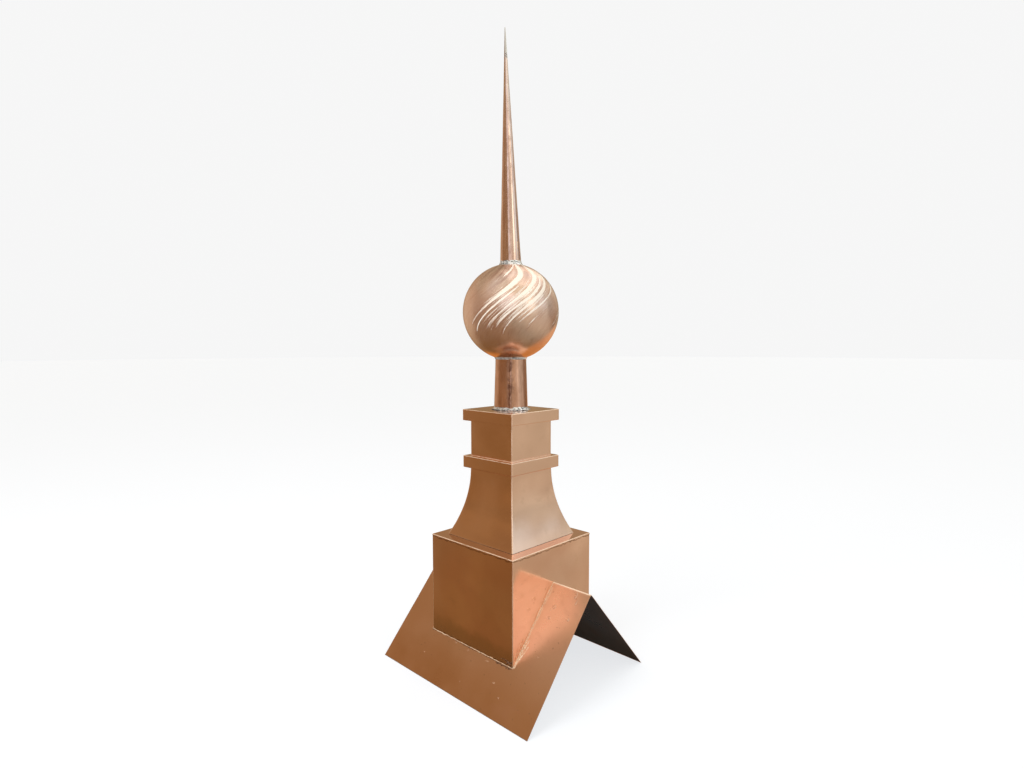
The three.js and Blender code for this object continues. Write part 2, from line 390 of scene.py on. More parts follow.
def saddle_finish():
    f, tone, rough, normal = copper_sheet(
        "saddle_copper", (0.95, 0.65, 0.52), (0.88, 0.57, 0.44), (0.72, 0.45, 0.32), 0.25, 0.35, 0.5
    )
    x = f.math("ABSOLUTE", f.along(0))
    y = f.math("ABSOLUTE", f.along(1))
    off = f.math("SUBTRACT", f.math("MAXIMUM", x, y), BOX_HALF)
    uneven = f.math("MULTIPLY", f.grain(60, 4.0), 0.03)
    heat = f.step(f.math("ADD", off, uneven), 0.010, 0.040, 0.22, 0.0)
    tone = f.mix(heat, tone, (0.62, 0.42, 0.28))
    # Darker and browner towards the eaves; the darkening towards the -X end is painted shade.
    low = f.step(f.along(2), 0.02, 0.15, 0.75, 0.0)
    low = f.math("MAXIMUM", low, f.step(f.along(0), -0.26, 0.02, 0.55, 0.0))
    low = f.math("MULTIPLY", low, f.step(f.grain(9, 3.0, shift=(7, 7, 2)), 0.2, 0.6, 0.75, 1.1))
    tone = f.mix(low, tone, (0.69, 0.37, 0.195))
    blotch = f.add("ShaderNodeVectorMath", {0: f.place, 1: on_slope(0.18, 0.314)}, operation="DISTANCE")
    edge = f.math("ADD", blotch.outputs["Value"], f.step(f.grain(45, 3.0), 0.2, 0.8, -0.02, 0.02))
    tone = f.mix(f.step(edge, 0.022, 0.034, 0.4, 0.0), tone, (0.74, 0.42, 0.28))
    spots = f.step(f.grain(95, 2.0, shift=(5, 5, 5)), 0.70, 0.74)
    tone = f.mix(f.math("MULTIPLY", spots, 0.5), tone, (0.5, 0.3, 0.22))
    rough = f.math("ADD", rough, f.math("MULTIPLY", heat, 0.10))
    # Painted highlight: a cream line along the ridge bend, standing for the light the bend catches.
    ridge = f.step(y, 0.0018, 0.0034, 1.0, 0.0)
    tone = f.paint_highlight_lines(tone, ridge, 0.9)
    return f.finish(tone, rough, normal)


def box_finish():
    f, tone, rough, normal = copper_sheet(
        "box_copper", (0.94, 0.64, 0.51), (0.87, 0.55, 0.42), (0.76, 0.52, 0.34), 0.07, 0.12, 0.45
    )
    y = f.math("ABSOLUTE", f.along(1))
    roof = f.math("SUBTRACT", RIDGE, f.math("MULTIPLY", y, math.tan(PITCH)))
    above = f.math("SUBTRACT", f.along(2), roof)
    uneven = f.math("MULTIPLY", f.grain(30, 4.0), 0.05)
    heat = f.step(f.math("SUBTRACT", above, uneven), -0.005, 0.03, 0.5, 0.0)
    slope_wall = f.step(y, BOX_HALF - 0.003, BOX_HALF - 0.0015)
    heat = f.math("MULTIPLY", heat, slope_wall)
    tone = f.mix(heat, tone, (0.50, 0.36, 0.20))
    seam = f.math("SUBTRACT", above, f.step(f.grain(90, 3.0, shift=(2, 2, 9)), 0.3, 0.7, 0.0008, 0.0042))
    seam = f.step(f.math("ABSOLUTE", seam), 0.0005, 0.0018, 0.8, 0.0)
    tone = f.mix(f.math("MULTIPLY", seam, slope_wall), tone, (0.24, 0.14, 0.08))
    # Painted shadow: a dark, wavy line just under the lid's turned-down edge.
    drop = f.math("SUBTRACT", DECK - 0.0052, f.along(2))
    drop = f.math("ADD", drop, f.step(f.grain(75, 3.0, shift=(6, 2, 2)), 0.25, 0.75, -0.0022, 0.0022))
    lid = f.step(f.math("ABSOLUTE", drop), 0.0006, 0.0020, 0.75, 0.0)
    tone = f.mix(lid, tone, (0.30, 0.17, 0.10))
    rough = f.math("ADD", rough, f.math("MULTIPLY", heat, 0.12))
    # Painted highlight: cream lines along the lid's edge and down the box's corners.
    tone = f.paint_highlight_lines(tone, f.folds([(BOX_HALF, DECK, 1.0)], [DECK], 0.4), 0.7)
    return f.finish(tone, rough, normal)


def upper_finish():
    f, tone, rough, normal = copper_sheet(
        "upper_copper", (0.94, 0.66, 0.53), (0.89, 0.60, 0.47), (0.78, 0.54, 0.40), 0.07, 0.13, 0.4
    )
    # Painted highlight: cream lines along the edges of the collar, the cap, the shaft's top and the skirt's foot,
    # and down the corners.
    edges = [
        (COLLAR_HIGH.x, COLLAR_HIGH.z, 1.0), (CAP_HIGH.x, CAP_HIGH.z, 1.0),
        (SHAFT_HALF, COLLAR_HIGH.z, 1.0), (SKIRT_FOOT_HALF, DECK, 0.2),
    ]
    tone = f.paint_highlight_lines(tone, f.folds(edges, [COLLAR_HIGH.z, CAP_HIGH.z]), 0.6)
    return f.finish(tone, rough, normal)


def rolled_finish(name, light, deep, metallic, seam_heading, stained, tip_from=None):
    """Rolled copper with marks along its length, heat stains by the seam, and a tinned tip."""
    f = Finish(name, metallic)
    lines = f.grain(260, 3.0, stretch=(1, 1, 0.02))
    blotch = f.grain(48, 4.0, stretch=(1, 1, 0.35), shift=(2, 8, 1))
    tone = f.mix(f.step(blotch, 0.35, 0.65), light, deep)
    tone = f.mix(f.step(lines, 0.52, 0.7, 0.0, 0.45), tone, (0.56, 0.31, 0.22))
    x, y = f.along(0), f.along(1)
    out = (math.cos(seam_heading), math.sin(seam_heading))
    side = f.math("SUBTRACT", f.math("MULTIPLY", y, out[0]), f.math("MULTIPLY", x, out[1]))
    front = f.math("ADD", f.math("MULTIPLY", x, out[0]), f.math("MULTIPLY", y, out[1]))
    off = f.math("ABSOLUTE", f.math("ADD", side, f.step(f.grain(60, 3.0), 0.2, 0.8, -0.002, 0.002)))
    flecks = f.grain(170, 4.0, stretch=(1, 1, 0.3), shift=(1, 1, 6), roughness=0.7)
    stain = f.math("MULTIPLY", f.step(off, 0.0010, 0.0125, 1.0, 0.0), f.step(front, 0.0, 0.003))
    stain = f.math("MULTIPLY", stain, f.step(flecks, 0.44, 0.58))
    tone = f.mix(f.math("MULTIPLY", stain, stained), tone, (0.24, 0.12, 0.09))
    rough = f.step(blotch, 0.3, 0.7, 0.14, 0.24)
    rough = f.math("ADD", rough, f.math("MULTIPLY", stain, 0.15))
    if tip_from is not None:
        ring = f.step(
            f.math("ABSOLUTE", f.math("SUBTRACT", f.along(2), tip_from - 0.07)), 0.0006, 0.0018, 0.7, 0.0
        )
        tone = f.mix(ring, tone, (1.0, 0.93, 0.80))
        tone = f.mix(f.step(f.along(2), tip_from - 0.20, tip_from - 0.04, 0.0, 0.6), tone, (0.88, 0.76, 0.71))
        edge = f.math("ADD", f.along(2), f.math("MULTIPLY", f.grain(90, 4.0), 0.03))
        tin = f.step(edge, tip_from + 0.005, tip_from + 0.025)
        tone = f.mix(tin, tone, (0.66, 0.65, 0.64))
        speck = f.step(f.math("ABSOLUTE", f.math("SUBTRACT", f.along(2), tip_from + 0.006)), 0.003, 0.010, 0.8, 0.0)
        speck = f.math("MULTIPLY", speck, f.step(f.grain(340, 2.0), 0.50, 0.58))
        tone = f.mix(speck, tone, (0.16, 0.12, 0.12))
        rough = f.math("ADD", rough, f.math("MULTIPLY", tin, 0.08))
    normal = f.bump(lines, 0.00005)
    normal = f.bump(f.grain(130, 3.0, stretch=(1, 1, 0.4)), 0.00014, normal)
    return f.finish(tone, rough, normal)


def ball_finish():
    """Spun copper, polished by hand in sweeping strokes, with the glints of the light on the strokes painted in as
    white streaks (painted highlight): the streaks are in the mesh's attributes.
    """
    f = Finish("spun_copper")
    swirl = f.add("ShaderNodeAttribute", attribute_name="swirl").outputs["Vector"]
    streak = f.add("ShaderNodeAttribute", attribute_name="streak").outputs["Fac"]
    smear = f.add("ShaderNodeAttribute", attribute_name="smear").outputs["Fac"]
    slow = f.grain(9, 2.0)
    tone = f.mix(f.step(slow, 0.35, 0.65), (0.88, 0.68, 0.59), (0.79, 0.56, 0.47))
    brushed = f.grain(14, 5.0, stretch=(1, 1, 0.25), vector=swirl, roughness=0.7)
    tone = f.mix(f.step(brushed, 0.48, 0.72, 0.0, 0.6), tone, (0.66, 0.40, 0.32))
    up = f.math("MULTIPLY", f.math("SUBTRACT", f.along(2), BALL_CENTRE.z), 1 / BALL_RADIUS)
    up = f.math("ADD", up, f.step(f.grain(12, 3.0, shift=(5, 1, 8)), 0.2, 0.8, -0.08, 0.08))
    # Painted shade and painted reflection: the ball's underside is made darker and oranger, as the copper cap below
    # would show in it.
    tone = f.mix(f.step(up, -0.96, -0.45, 0.7, 0.0), tone, (0.66, 0.40, 0.20))
    smeared = f.math("MULTIPLY", smear, f.step(brushed, 0.35, 0.65, 0.5, 1.1))
    tone = f.mix(smeared, tone, (0.44, 0.23, 0.19))
    # Painted highlight: the white streaks stand for the glints of the light on the polishing strokes.
    hairs = f.grain(34, 3.0, stretch=(1, 1, 0.06), shift=(4, 4, 4), vector=swirl, roughness=0.6)
    ragged = f.math("ADD", streak, f.step(hairs, 0.3, 0.7, -0.36, 0.34))
    shown = f.step(streak, 0.02, 0.12)
    jagged = f.grain(95, 3.0, stretch=(1, 1, 0.5), shift=(6, 2, 4), vector=swirl, roughness=0.7)
    ragged = f.math("ADD", ragged, f.step(jagged, 0.3, 0.7, -0.16, 0.16))
    painted_glint = f.math("MULTIPLY", f.step(ragged, 0.28, 0.60), shown)
    tone = f.mix(f.step(streak, 0.02, 0.20, 0.0, 0.45), tone, (0.62, 0.37, 0.29))
    tone = f.mix(painted_glint, tone, (0.96, 0.89, 0.81))
    self_metal = f.math("SUBTRACT", f.step(up, -0.8, 0.1, 0.97, 0.82), f.math("MULTIPLY", painted_glint, 0.72))
    f.tree.links.new(self_metal, f.shader.inputs["Metallic"])
    rough = f.step(slow, 0.3, 0.7, 0.20, 0.27)
    rough = f.math("ADD", rough, f.math("MULTIPLY", painted_glint, 0.15))
    normal = f.bump(brushed, 0.00006)
    return f.finish(tone, rough, normal)


def solder_finish(name, light, dark, copper, metallic):
    f = Finish(name, metallic)
    lumps = f.grain(240, 4.0)
    patch = f.grain(90, 3.0, shift=(2, 2, 7))
    tone = f.mix(f.step(lumps, 0.44, 0.56), light, dark)
    tone = f.mix(f.step(patch, 0.60, 0.74, 0.0, 0.6), tone, copper)
    rough = f.step(lumps, 0.3, 0.7, 0.14, 0.42)
    normal = f.bump(lumps, 0.0006)
    return f.finish(tone, rough, normal)


SADDLE_COPPER = saddle_finish()
BOX_COPPER = box_finish()
UPPER_COPPER = upper_finish()
NECK_COPPER = rolled_finish(
    "neck_copper", (0.79, 0.50, 0.40), (0.60, 0.36, 0.27), 0.95, MARKS_FROM - math.radians(2), 0.95
)
SPIRE_COPPER = rolled_finish(
    "spire_copper", (0.85, 0.64, 0.57), (0.74, 0.52, 0.45), 0.97, MARKS_FROM - math.radians(10),
    0.25, 1.615
)
BALL_COPPER = ball_finish()
SOLDER = solder_finish("solder", (0.92, 0.95, 1.0), (0.20, 0.22, 0.24), (0.62, 0.50, 0.43), 0.6)
# Solder in cream and copper tones: partly painted reflection of the copper sheet round it.
WARM_SOLDER = solder_finish(
    "warm_solder", (1.0, 0.82, 0.64), (0.86, 0.58, 0.40), (0.95, 0.66, 0.46), 0.4
)


FLUX = solder_finish("flux", (0.32, 0.18, 0.11), (0.12, 0.06, 0.04), (0.44, 0.26, 0.17), 0.4)
DRIED_DROP = solder_finish(
    "dried_drop", (0.94, 0.68, 0.54), (0.84, 0.54, 0.41), (0.92, 0.63, 0.48), 0.92
)


# The saddle


def saddle():
    """The folded sheet, its two slopes very slightly uneven."""
    flat_length = (EAVE_HALF - BEND * math.sin(PITCH)) / math.cos(PITCH)
    section = []
    for k in range(37):
        section.append((-1, flat_length * (1 - k / 36), PITCH))
    for k in range(1, 8):
        angle = PITCH * (1 - k / 4)
        section.append((-1 if angle > 0 else 1, 0.0, abs(angle)))
    for k in range(37):
        section.append((1, flat_length * k / 36, PITCH))
    columns = 65
    vertices = []
    for distance in (BEND, BEND - SHEET):
        for side, run, lean in section:
            for c in range(columns):
                x = SADDLE_HALF * (-1 + 2 * c / (columns - 1))
                clear = smooth_step(run, 0.004, 0.03) * smooth_step(flat_length - run, 0.0, 0.04)
                lift = 0.0006 * wave(x, run * side, 0, 0.11, 1) * clear
                reach = distance + lift
                y = side * (reach * math.sin(lean) + run * math.cos(PITCH))
                z = BEND_CENTRE + reach * math.cos(lean) - run * math.sin(PITCH)
                vertices.append((x, y, max(0.0, z)))
    rows = len(section)
    faces = []
    below = rows * columns
    for r in range(rows - 1):
        for c in range(columns - 1):
            a = r * columns + c
            b = a + columns
            faces.append((a, a + 1, b + 1, b))
            faces.append((a + below, b + below, b + 1 + below, a + 1 + below))
    for r in range(rows - 1):
        for c in (0, columns - 1):
            a = r * columns + c
            b = a + columns
            faces.append((a, b, b + below, a + below))
    for c in range(columns - 1):
        for r in (0, rows - 1):
            a = r * columns + c
            faces.append((a, a + 1, a + 1 + below, a + below))
    piece("saddle", vertices, faces, SADDLE_COPPER, ["saddle_flashing"])


saddle()


# The base box with its lid


def base_box():
    """Walls cut to the roof, under a lid whose edge is turned down over them and dressed by hand."""
    lid_out = 0.0006
    lid_drop = 0.0042
    plate = [(BOX_HALF * k / 9, DECK) for k in range(1, 9)]
    fold = rounded(
        [(BOX_HALF * 8.5 / 9, DECK), (BOX_HALF + lid_out, DECK), (BOX_HALF + lid_out, DECK - 0.003)],
        [0, 0.0013, 0],
    )
    rings = []
    for half, z in plate + fold:
        def level(x, y, z=z, half=half):
            clear = smooth_step(BOX_HALF - max(abs(x), abs(y)), 0.0, 0.02)
            return z - 0.0003 * clear * (0.5 + 0.5 * wave(x, y, 0, 0.08, 4))

        rings.append(square_ring(half, 0.0022, level))

    def lid_edge(inward):
        def level(x, y):
            side_step = 0.0011 * wave(x, y, 0.0, 0.012, 5) + 0.0006 * wave(x, y, 0.0, 0.004, 6)
            return DECK - lid_drop + side_step

        return square_ring(BOX_HALF + inward, 0.0022, level)

    rings.append(lid_edge(lid_out))
    rings.append(lid_edge(0.0))
    steps = 26

    def wall(half, corner, downward):
        made = []
        for k in range(steps + 1):
            share = k / steps if downward else 1 - k / steps

            def level(x, y, share=share):
                top = DECK - lid_drop - 0.0015
                foot = roof_height(y, 0.0002)
                return top + (foot - top) * share

            def swell(side, along, middle, share=share):
                fade = smooth_step(min(share, 1 - share), 0.0, 0.18) * smooth_step(middle, 0.0, 0.4)
                return 0.0007 * fade * wave(along + 2.3 * side, 0, share * 0.2, 0.12, 7)

            made.append(square_ring(half, corner, level, swell=swell))
        return made

    rings += wall(BOX_HALF, 0.0018, True)
    rings += wall(BOX_HALF - SHEET, 0.0010, False)
    rings.append(square_ring(BOX_HALF - SHEET, 0.0010, DECK - SHEET - 0.0004))
    rings += [square_ring(BOX_HALF * k / 9, 0.001, DECK - SHEET - 0.0004) for k in (6, 3, 1)]
    vertices, faces = loft(
        rings, start_point=(0, 0, rings[0][0][2]), end_point=(0, 0, DECK - SHEET - 0.0004)
    )
    piece("box", vertices, faces, BOX_COPPER, ["base_box"])


base_box()


# The skirt, the collar, the shaft and the cap


def skirt_half(height):
    """Half width of the skirt's outer face at a height above the deck: one arc, upright at the top."""
    rise = COLLAR_LOW.z - DECK
    flare = SKIRT_FOOT_HALF - SHAFT_HALF
    arc = (rise * rise + flare * flare) / (2 * flare)
    below = rise - height
    return SHAFT_HALF + arc - math.sqrt(arc * arc - below * below)


def skirt():
    rise = COLLAR_LOW.z - DECK
    levels = [0.0004 + (rise - 0.0004) * k / 30 for k in range(31)]
    levels = sorted(levels + [rise - 0.0053, rise - 0.0050, rise - 0.0047])
    rings = []
    for inset, heights in ((0.0, levels), (SHEET, list(reversed(levels)))):
        for height in heights:
            def swell(side, along, middle, height=height):
                fade = smooth_step(min(height, rise - height), 0.0, 0.035)
                lift = wave(along + 1.7 * side, 0, height, 0.085, 11)
                return 0.0009 * lift * fade * smooth_step(middle, 0.0, 0.4)

            lap = 0.0007 * smooth_step(rise - height, 0.0046, 0.0052) if inset == 0.0 else 0.0
            half = skirt_half(height) - inset + lap
            rings.append(square_ring(half, 0.0019 - inset, DECK + height, swell=swell))
        if inset == 0.0:
            rings.append(square_ring(SHAFT_HALF, 0.0019, COLLAR_LOW.z + 0.009))
            rings.append(square_ring(SHAFT_HALF - SHEET, 0.0011, COLLAR_LOW.z + 0.009))
    vertices, faces = loft(rings, closed=True)
    piece("skirt", vertices, faces, UPPER_COPPER, ["flared_skirt"])


def band(name, low, high, face, node, top_closed):
    """A folded square band round the shaft: open above for the collar, a closed pan for the cap."""
    hole = SHAFT_HALF + 0.0002
    fold = 0.0016
    if top_closed:
        outer = rounded(
            [(face * 0.9, high), (face, high), (face, low), (hole, low)], [0, fold, fold, 0]
        )
        plates = [(face * k / 10, high) for k in range(1, 9)]
        inner = [(hole, low + SHEET), (face - SHEET, low + SHEET), (face - SHEET, high - SHEET)]
        under = [(face * k / 10, high - SHEET) for k in (7, 4, 1)]
        profile = plates + outer + inner + under
    else:
        outer = rounded(
            [(hole, high), (face, high), (face, low), (hole, low)], [0, fold, fold, 0]
        )
        inner = [(hole, low + SHEET), (face - SHEET, low + SHEET)]
        inner += [(face - SHEET, high - SHEET), (hole, high - SHEET)]
        profile = outer + inner
    rings = []
    for half, z in profile:
        def swell(side, along, middle, z=z, half=half):
            edge = min(abs(z - low), abs(high - z))
            fade = smooth_step(edge, 0.001, 0.012) if half > face - 0.002 else 0.0
            return 0.0004 * fade * wave(along + side, 0, z, 0.07, 13) * smooth_step(middle, 0, 0.3)

        corner = 0.0019 if half > face - 0.0003 else 0.0012
        rings.append(square_ring(half, corner, z, swell=swell))
    if top_closed:
        vertices, faces = loft(rings, start_point=(0, 0, high), end_point=(0, 0, high - SHEET))
    else:
        vertices, faces = loft(rings, closed=True)
    piece(name, vertices, faces, UPPER_COPPER, [node])


def shaft():
    low = COLLAR_LOW.z + 0.0103
    high = CAP_HIGH.z - 0.0011
    levels = [low + (high - low) * k / 20 for k in range(21)]
    rings = []
    for inset, heights in ((0.0, levels), (SHEET, list(reversed(levels)))):
        for z in heights:
            def swell(side, along, middle, z=z):
                fade = smooth_step(min(z - COLLAR_HIGH.z, CAP_LOW.z - z), 0.0, 0.02)
                lift = wave(along + 2.9 * side, 0, z, 0.08, 15)
                return 0.0005 * lift * fade * smooth_step(middle, 0.0, 0.4)

            rings.append(square_ring(SHAFT_HALF - inset, 0.0019 - inset, z, swell=swell))
    vertices, faces = loft(rings, closed=True)
    piece("shaft_tube", vertices, faces, UPPER_COPPER, ["shaft"])


skirt()
band("collar_band", COLLAR_LOW.z, COLLAR_HIGH.z, COLLAR_HIGH.x, "lower_collar", False)
shaft()
band("cap_pan", CAP_LOW.z, CAP_HIGH.z, CAP_HIGH.x, "cap", True)


# The neck, the ball and the spire


def round_ring(radius, height, steps, bulge=None, turn=None):
    """Points round a circle. bulge gives what is added to the radius at an angle; turn maps points."""
    points = []
    for k in range(steps):
        angle = 2 * math.pi * k / steps
        r = radius + (bulge(angle) if bulge else 0.0)
        p = Vector((r * math.cos(angle), r * math.sin(angle), height))
        points.append(tuple(turn @ p if turn else p))
    return points


def angle_off(angle, heading):
    return (angle - heading + math.pi) % (2 * math.pi) - math.pi


def neck():
    seam = MARKS_FROM - math.radians(4)
    low = CAP_HIGH.z + 0.0003
    seat = BALL_RADIUS + 0.0003
    top = BALL_CENTRE.z - math.sqrt(seat**2 - NECK_TOP_RADIUS**2)
    count = 46
    rings = []
    for inset, order in ((0.0, range(count + 1)), (SHEET, reversed(range(count + 1)))):
        for k in order:
            share = k / count
            radius = NECK_FOOT_RADIUS + (NECK_TOP_RADIUS - NECK_FOOT_RADIUS) * share - inset
            z = low + (top - low) * share

            def bulge(angle, z=z, inset=inset):
                if inset:
                    return 0.0
                off = angle_off(angle, seam) * NECK_FOOT_RADIUS
                lap = 0.0007 * smooth_step(off, -0.0022, 0.0) * smooth_step(-off, -0.011, -0.006)
                lump = 0.0004 * wave(off, 0, z, 0.007, 21) * smooth_step(-abs(off), -0.005, -0.001)
                dent = 0.0003 * wave(math.cos(angle), math.sin(angle), z * 14, 0.8, 22)
                return lap + lump + dent

            rings.append(round_ring(radius, z, 144, bulge))
    vertices, faces = loft(rings, closed=True)
    piece("neck_tube", vertices, faces, NECK_COPPER, ["neck"])


STREAKS = (
    # painted highlights, the white glints of the polishing strokes: middle in degrees round the
    # ball, half width in degrees, start and end in degrees from the top, strength, and how far its end
    # turns aside
    (8.0, 2.4, 8, 58, 0.9, -20),
    (16.0, 5.8, 6, 108, 1.0, 0),
    (25.5, 1.8, 62, 122, 0.95, 0),
    (33.0, 1.1, 54, 112, 0.6, 0),
    (37.0, 1.2, 70, 116, 0.6, 0),
    (42.0, 4.2, 14, 114, 1.0, 0),
    (47.5, 1.1, 62, 116, 0.7, 0),
    (53.0, 3.0, 46, 114, 0.95, 0),
    (57.0, 1.1, 66, 118, 0.7, 0),
    (63.5, 3.8, 32, 120, 1.0, 0),
    (70.0, 1.1, 58, 112, 0.7, 0),
    (80.0, 2.4, 50, 106, 0.85, -4),
    (92.0, 1.5, 84, 116, 0.5, 0),
)


def sweep(polar):
    """How far round, in degrees, a polishing stroke and its painted glint have turned at an angle from the ball's
    top.
    """
    return 75.0 * smooth_step(polar, 38.0, 122.0)


SMEARS = (
    # dark smears left between the strokes, in the same values
    (-24.0, 5.0, 12, 60, 1.0, -4),
    (-40.0, 4.0, 16, 54, 0.7, -4),
    (-11.0, 2.4, 22, 62, 0.5, -8),
    (1.0, 2.6, 26, 76, 0.5, -10),
    (29.0, 4.2, 10, 62, 0.7, 0),
    (51.0, 2.6, 24, 70, 0.5, 0),
)


def stroke_share(u, polar, strokes):
    """How much of the strongest stroke lies at a place on the ball, from 0 to 1."""
    most = 0.0
    for middle, width, start, end, strength, aside in strokes:
        along = (polar - start) / (end - start)
        if along <= 0 or along >= 1:
            continue
        wander = 1.5 * noise.noise(Vector((middle, polar / 25.0, 0.5)))
        wander += aside * smooth_step(along, 0.2, 1.0)
        off = abs((u - middle - wander + 180.0) % 360.0 - 180.0)
        if off > width * 2.5:
            continue
        tail = smooth_step(1 - along, 0.0, 0.5)
        here = width * (0.45 + 0.55 * smooth_step(along, 0.0, 0.3) - 0.5 * smooth_step(along, 0.5, 1.0))
        size = strength * (0.25 + 0.75 * tail) * smooth_step(1 - along, 0.0, 0.06)
        most = max(most, size * math.exp(-((off / here) ** 2)))
    return most


def ball():
    around, bands = 360, 180
    vertices, swirl, streak, smear = [], [], [], []
    rng = np.random.default_rng(5)
    # More painted glint streaks, placed at random round the far side.
    back = [
        (rng.uniform(118, 262), rng.uniform(1.0, 4.6), rng.uniform(8, 50), rng.uniform(85, 118),
         rng.uniform(0.5, 0.9), 0)
        for _ in range(12)
    ]
    for b in range(1, bands):
        polar = 180.0 * b / bands
        turned = sweep(polar)
        for k in range(around):
            azimuth = 360.0 * k / around
            angle = math.radians(azimuth) + MARKS_FROM
            direction = Vector(
                (
                    math.sin(math.radians(polar)) * math.cos(angle),
                    math.sin(math.radians(polar)) * math.sin(angle),
                    math.cos(math.radians(polar)),
                )
            )
            dent = -0.00022 * abs(noise.noise(direction * 3.1 + Vector((3, 1, 4))))
            vertices.append(tuple(BALL_CENTRE + direction * (BALL_RADIUS + dent)))
            u = azimuth + turned
            swirl.append((math.cos(math.radians(u)), math.sin(math.radians(u)), polar / 57.3))
            streak.append(stroke_share(u, polar, (*STREAKS, *back)))
            smear.append(stroke_share(u, polar, SMEARS))
    faces = []
    for b in range(bands - 2):
        for k in range(around):
            a = b * around + k
            n = b * around + (k + 1) % around
            faces.append((a, n, n + around, a + around))
    top = len(vertices)
    vertices.append(tuple(BALL_CENTRE + Vector((0, 0, BALL_RADIUS))))
    vertices.append(tuple(BALL_CENTRE - Vector((0, 0, BALL_RADIUS))))
    swirl += [(1.0, 0.0, 0.0), (1.0, 0.0, math.pi)]
    streak += [0.0, 0.0]
    smear += [0.0, 0.0]
    last = (bands - 2) * around
    for k in range(around):
        faces.append((k, (k + 1) % around, top))
        faces.append((last + k, last + (k + 1) % around, top + 1))
    made = piece("ball_shell", vertices, faces, BALL_COPPER, ["ball"], crease=80)
    vector = made.data.attributes.new("swirl", "FLOAT_VECTOR", "POINT")
    vector.data.foreach_set("vector", np.array(swirl, np.float32).ravel())
    for name, values in (("streak", streak), ("smear", smear)):
        amount = made.data.attributes.new(name, "FLOAT", "POINT")
        amount.data.foreach_set("value", np.array(values, np.float32))


LEAN_AXIS = Vector((-math.sin(SPIRE_HEADING), math.cos(SPIRE_HEADING), 0.0))
TO_SPIRE = Matrix.Translation(SPIRE_FOOT) @ Matrix.Rotation(SPIRE_LEAN, 4, LEAN_AXIS)


def spire_radius(height):
    return SPIRE_RADIUS + (SPIRE_TIP_RADIUS - SPIRE_RADIUS) * height / SPIRE_LENGTH


def spire():
    seam = MARKS_FROM - math.radians(14)
    count = 150
    rings = []
    for k in range(count + 1):
        height = -0.004 + (SPIRE_LENGTH - SPIRE_TIP_RADIUS + 0.004) * k / count
        radius = spire_radius(height)

        def bulge(angle, height=height, radius=radius):
            off = angle_off(angle, seam) * radius
            room = smooth_step(radius, 0.002, 0.008)
            lap = 0.0006 * smooth_step(off, -0.0018, 0.0) * smooth_step(-off, -0.008, -0.004)
            lump = 0.0004 * wave(off, 0, height, 0.008, 31) * smooth_step(-abs(off), -0.004, -0.001)
            dent = 0.00035 * wave(math.cos(angle), math.sin(angle), height * 16, 0.9, 32)
            return room * (lap + lump + dent)

        rings.append(round_ring(radius, height, 96, bulge, TO_SPIRE))
    foot = tuple(TO_SPIRE @ Vector((0, 0, -0.004)))
    tip = tuple(TO_SPIRE @ Vector((0, 0, SPIRE_LENGTH)))
    vertices, faces = loft(rings, start_point=foot, end_point=tip)
    piece("spire_cone", vertices, faces, SPIRE_COPPER, ["spire"], crease=60)


neck()
ball()
spire()


# Solder


def fillet_ring(name, section, node, seed, lump, turn=None, steps=180):
    """A ring of solder whose section of (radius, height) points swells and shrinks along it."""
    rings = []
    middle = Vector((sum(r for r, _ in section), sum(z for _, z in section))) / len(section)
    for radius, height in section:
        ring = []
        for k in range(steps):
            angle = 2 * math.pi * k / steps
            x, y = math.cos(angle), math.sin(angle)
            size = 1 + lump * (
                wave(x * 0.05, y * 0.05, 0.0, 0.012, seed) + 0.6 * wave(x * 0.05, y * 0.05, height, 0.005, seed)
            )
            r = middle.x + (radius - middle.x) * size
            z = middle.y + (height - middle.y) * size
            p = Vector((r * x, r * y, z))
            ring.append(tuple(turn @ p if turn else p))
        rings.append(ring)
    vertices, faces = loft(rings, closed=True)
    piece(name, vertices, faces, SOLDER, [node], crease=80)


def mound(inner_low, inner_high, out, low, high, steps=8):
    """A section with a hollow-fronted fillet between a wall and a floor."""
    section = [(inner_low, low)]
    for k in range(steps + 1):
        angle = math.pi / 2 * k / steps
        share_out = 1 - math.sin(angle) * 0.94
        share_up = 1 - math.cos(angle) * 0.94
        radius = inner_high + (out - inner_high) * share_out
        section.append((radius, low + (high - low) * (1 - (1 - share_up))))
    section.append((inner_high, high))
    return section


neck_out = NECK_FOOT_RADIUS + 0.0076
fillet_ring(
    "solder_neck",
    mound(NECK_FOOT_RADIUS - 0.0004, NECK_FOOT_RADIUS - 0.0004, neck_out, CAP_HIGH.z, CAP_HIGH.z + 0.0086),
    "solder_neck_base", 41, 0.6,
)
seat_z = BALL_CENTRE.z - math.sqrt(BALL_RADIUS**2 - (NECK_TOP_RADIUS + 0.003) ** 2)
fillet_ring(
    "solder_seat",
    [
        (NECK_TOP_RADIUS - 0.0002, NECK_TOP - 0.0045),
        (NECK_TOP_RADIUS + 0.0014, NECK_TOP - 0.0022),
        (NECK_TOP_RADIUS + 0.0034, seat_z + 0.0003),
        (NECK_TOP_RADIUS - 0.0002, seat_z - 0.0008),
    ],
    "solder_ball_seat", 42, 0.35,
)
fillet_ring(
    "solder_spire",
    [
        (SPIRE_RADIUS - 0.0004, -0.0035),
        (SPIRE_RADIUS + 0.0048, -0.0020),
        (SPIRE_RADIUS + 0.0026, 0.0015),
        (SPIRE_RADIUS + 0.0011, 0.0050),
        (SPIRE_RADIUS - 0.0004, 0.0098),
    ],
    "solder_spire_base", 43, 0.3, TO_SPIRE,
)


